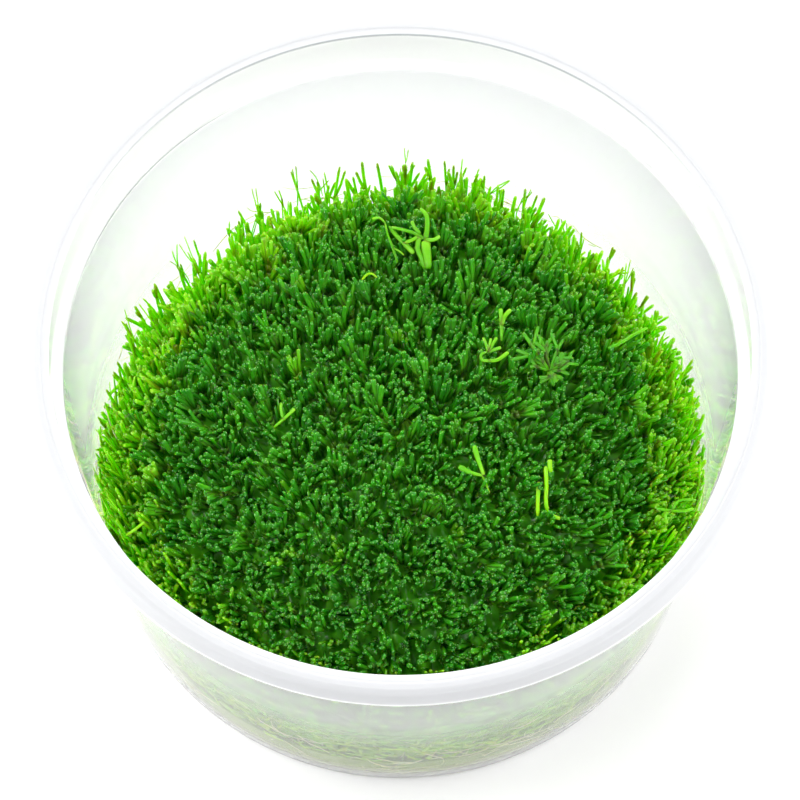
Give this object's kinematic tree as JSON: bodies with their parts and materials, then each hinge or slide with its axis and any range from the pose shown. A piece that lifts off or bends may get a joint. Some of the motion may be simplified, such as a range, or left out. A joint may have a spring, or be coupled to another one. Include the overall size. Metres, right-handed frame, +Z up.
{
  "type": "potted crystalwort",
  "caption": "Open round tapered culture cup with a wide lip, filled to half its height with a domed cushion of forked crystalwort lobes on a disc of pale gel.",
  "frame": {"origin": "middle of the cup's foot, on the surface it stands on", "axes": "+Z up along the cup's axis, -Y towards the viewer of the picture"},
  "size_m": [0.1, 0.1, 0.057],
  "materials": {
    "cup_plastic": "satin",
    "gel": "gloss",
    "lobes": "satin",
    "pale_lobes": "satin"
  },
  "bodies": {
    "root": {"cup": "cup_plastic", "growing_gel": "gel", "crystalwort_clump_01": "lobes", "crystalwort_clump_02": "lobes", "crystalwort_clump_03": "lobes", "crystalwort_clump_04": "lobes", "crystalwort_clump_05": "lobes", "crystalwort_clump_06": "lobes", "crystalwort_clump_07": "lobes", "crystalwort_clump_08": "lobes", "crystalwort_clump_09": "lobes", "crystalwort_clump_10": "lobes", "crystalwort_clump_11": "lobes", "crystalwort_clump_12": "lobes", "crystalwort_clump_13": "lobes", "crystalwort_clump_14": "lobes", "crystalwort_clump_15": "lobes", "crystalwort_clump_16": "lobes", "crystalwort_clump_17": "lobes", "crystalwort_clump_18": "lobes", "crystalwort_clump_19": "lobes", "stray_thallus_1": "pale_lobes", "stray_thallus_2": "pale_lobes", "stray_thallus_3": "pale_lobes", "stray_thallus_4": "pale_lobes", "stray_thallus_5": "pale_lobes", "stray_thallus_6": "pale_lobes", "stray_thallus_7": "pale_lobes"}
  },
  "joints": []
}
